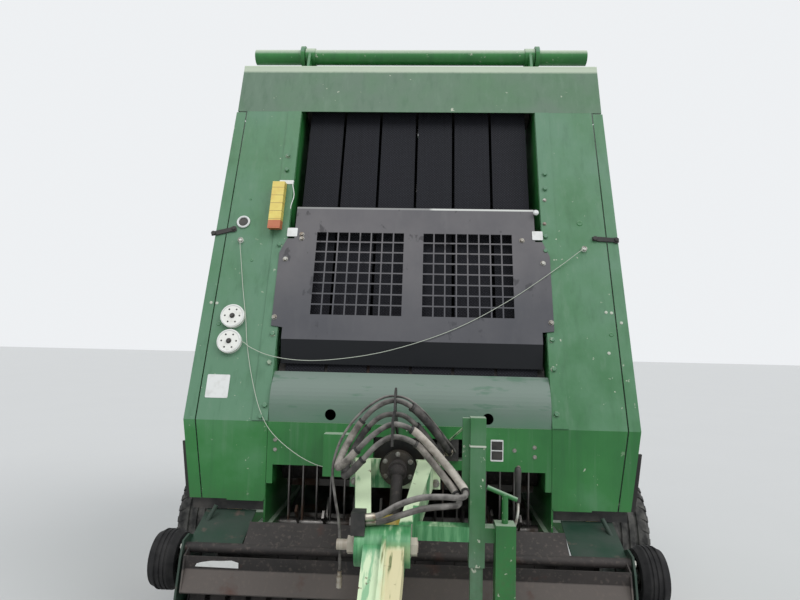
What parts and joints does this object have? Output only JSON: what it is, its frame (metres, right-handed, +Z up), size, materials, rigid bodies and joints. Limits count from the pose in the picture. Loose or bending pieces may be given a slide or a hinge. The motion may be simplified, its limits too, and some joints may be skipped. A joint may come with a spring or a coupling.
{
  "type": "round baler",
  "caption": "Towed round baler: belt chamber with a hinged tailgate, lifting tined pickup with a wind guard, opening side covers, drawbar and jack.",
  "frame": {"origin": "on the floor, under the centre of the whole machine's box", "axes": "+Z up, -Y the way the drawbar points, +X to the left of the direction of travel"},
  "size_m": [2.68, 4.1, 3.205],
  "materials": {
    "green_paint": "green enamel, chalky where the sun reached it",
    "faded_green_paint": "sun-faded and worn green enamel",
    "grey_paint": "dusty grey-brown enamel",
    "belt_rubber": "black rubber, textured",
    "hose_rubber": "dusty black rubber hose",
    "twine": "thin pale baler twine",
    "worn_steel": "bare worn steel",
    "black_paint": "black enamel, greasy",
    "rusty_steel": "rusty brown steel",
    "yellow_plastic": "yellow plastic, dirty",
    "white_plastic": "white plastic",
    "red_lens": "red lens",
    "tyre_rubber": "dusty black tyre rubber",
    "yellow_paint": "yellow enamel"
  },
  "bodies": {
    "chassis": {"chamber_walls": "green_paint", "chamber_floor": "worn_steel", "front_panels": "green_paint", "hood": "green_paint", "curved_cover": "faded_green_paint", "front_beam": "green_paint", "guard_panel": "grey_paint", "front_belts": "belt_rubber", "front_rollers": "worn_steel", "hinge_tube": "green_paint", "main_frame": "green_paint", "axle": "green_paint", "gearbox": "black_paint", "drawbar": "faded_green_paint", "drawbar_tube": "faded_green_paint", "pto_shaft": "rusty_steel", "pto_guard": "yellow_plastic", "jack_post": "green_paint", "jack_tube": "green_paint", "bale_gauge": "yellow_plastic", "twine_discs": "white_plastic", "cover_hinges": "green_paint", "hose_holders": "black_paint", "hose_front": "hose_rubber", "hose_back": "hose_rubber", "cable": "hose_rubber", "cable_plug": "black_paint", "twine_long": "twine", "twine_short": "twine"},
    "jack_leg": {"jack_leg": "worn_steel"},
    "stand_leg": {"stand_leg": "green_paint"},
    "cover_left": {"side_cover_left": "green_paint", "flap_left": "belt_rubber"},
    "cover_right": {"side_cover_right": "green_paint", "flap_right": "belt_rubber"},
    "gate": {"gate_walls": "green_paint", "gate_crossbars": "green_paint", "gate_rollers": "worn_steel", "gate_belts": "belt_rubber", "gate_tail_panel": "green_paint", "tail_lamps": "red_lens"},
    "barrel_left": {"barrel_left": "black_paint"},
    "barrel_right": {"barrel_right": "black_paint"},
    "rod_left": {"rod_left": "worn_steel"},
    "rod_right": {"rod_right": "worn_steel"},
    "pickup": {"pickup_frame": "green_paint", "pickup_bands": "rusty_steel"},
    "reel": {"pickup_reel": "rusty_steel"},
    "wind_guard": {"wind_guard": "rusty_steel"},
    "gauge_wheel_left": {"gauge_tyre_left": "tyre_rubber", "gauge_rim_left": "worn_steel"},
    "gauge_wheel_right": {"gauge_tyre_right": "tyre_rubber", "gauge_rim_right": "worn_steel"},
    "feeder": {"feeder_rotor": "worn_steel"},
    "wheel_left": {"tyre_left": "tyre_rubber", "rim_left": "yellow_paint"},
    "wheel_right": {"tyre_right": "tyre_rubber", "rim_right": "yellow_paint"}
  },
  "joints": [
    {"name": "gate_hinge", "type": "hinge", "parent": "chassis", "child": "gate", "pos_m": [0, 0.4, 3.143], "axis": [1, 0, 0], "range_deg": [0, 60]},
    {"name": "pickup_lift", "type": "hinge", "parent": "chassis", "child": "pickup", "pos_m": [0, 0.15, 0.56], "axis": [1, 0, 0], "range_deg": [0, 24]},
    {"name": "reel_spin", "type": "hinge", "parent": "pickup", "child": "reel", "pos_m": [0, -0.43, 0.44], "axis": [1, 0, 0], "continuous": true},
    {"name": "wind_guard_hinge", "type": "hinge", "parent": "pickup", "child": "wind_guard", "pos_m": [0, -0.52, 0.667], "axis": [-1, 0, 0], "range_deg": [0, 45]},
    {"name": "gauge_wheel_left_spin", "type": "hinge", "parent": "pickup", "child": "gauge_wheel_left", "pos_m": [-0.98, -0.4, 0.575], "axis": [1, 0, 0], "continuous": true},
    {"name": "gauge_wheel_right_spin", "type": "hinge", "parent": "pickup", "child": "gauge_wheel_right", "pos_m": [0.98, -0.4, 0.575], "axis": [1, 0, 0], "continuous": true},
    {"name": "feeder_spin", "type": "hinge", "parent": "chassis", "child": "feeder", "pos_m": [0, -0.13, 0.655], "axis": [1, 0, 0], "continuous": true},
    {"name": "wheel_left_spin", "type": "hinge", "parent": "chassis", "child": "wheel_left", "pos_m": [-1.208, 0.85, 0.38], "axis": [1, 0, 0], "continuous": true},
    {"name": "wheel_right_spin", "type": "hinge", "parent": "chassis", "child": "wheel_right", "pos_m": [1.208, 0.85, 0.38], "axis": [1, 0, 0], "continuous": true},
    {"name": "cover_left_hinge", "type": "hinge", "parent": "chassis", "child": "cover_left", "pos_m": [-0.925, 0.59842, 1.25], "axis": [0, 0.1275, -0.9918], "range_deg": [0, 95]},
    {"name": "cover_right_hinge", "type": "hinge", "parent": "chassis", "child": "cover_right", "pos_m": [0.925, 0.59842, 1.25], "axis": [0, -0.1275, 0.9918], "range_deg": [0, 95]},
    {"name": "stand_slide", "type": "slide", "parent": "chassis", "child": "stand_leg", "axis": [0, 0, -1], "range_m": [0, 0.285]},
    {"name": "jack_slide", "type": "slide", "parent": "chassis", "child": "jack_leg", "axis": [0, 0, 1], "range_m": [0, 0.28]},
    {"name": "barrel_left_swing", "type": "hinge", "parent": "chassis", "child": "barrel_left", "pos_m": [-0.7, 0.56, 0.745], "axis": [-1, 0, 0], "range_deg": [0, 3.5]},
    {"name": "rod_left_slide", "type": "slide", "parent": "barrel_left", "child": "rod_left", "axis": [0, 0.1902, 0.9817], "range_m": [0, 0.80441]},
    {"name": "barrel_right_swing", "type": "hinge", "parent": "chassis", "child": "barrel_right", "pos_m": [0.7, 0.56, 0.745], "axis": [-1, 0, 0], "range_deg": [0, 3.5]},
    {"name": "rod_right_slide", "type": "slide", "parent": "barrel_right", "child": "rod_right", "axis": [0, 0.1902, 0.9817], "range_m": [0, 0.80441]}
  ],
  "couplings": [
    {"joint": "barrel_left_swing", "follows": "gate_hinge", "ratio": 0.058163},
    {"joint": "rod_left_slide", "follows": "gate_hinge", "m_per_rad": 0.76768},
    {"joint": "barrel_right_swing", "follows": "gate_hinge", "ratio": 0.058163},
    {"joint": "rod_right_slide", "follows": "gate_hinge", "m_per_rad": 0.76768}
  ]
}
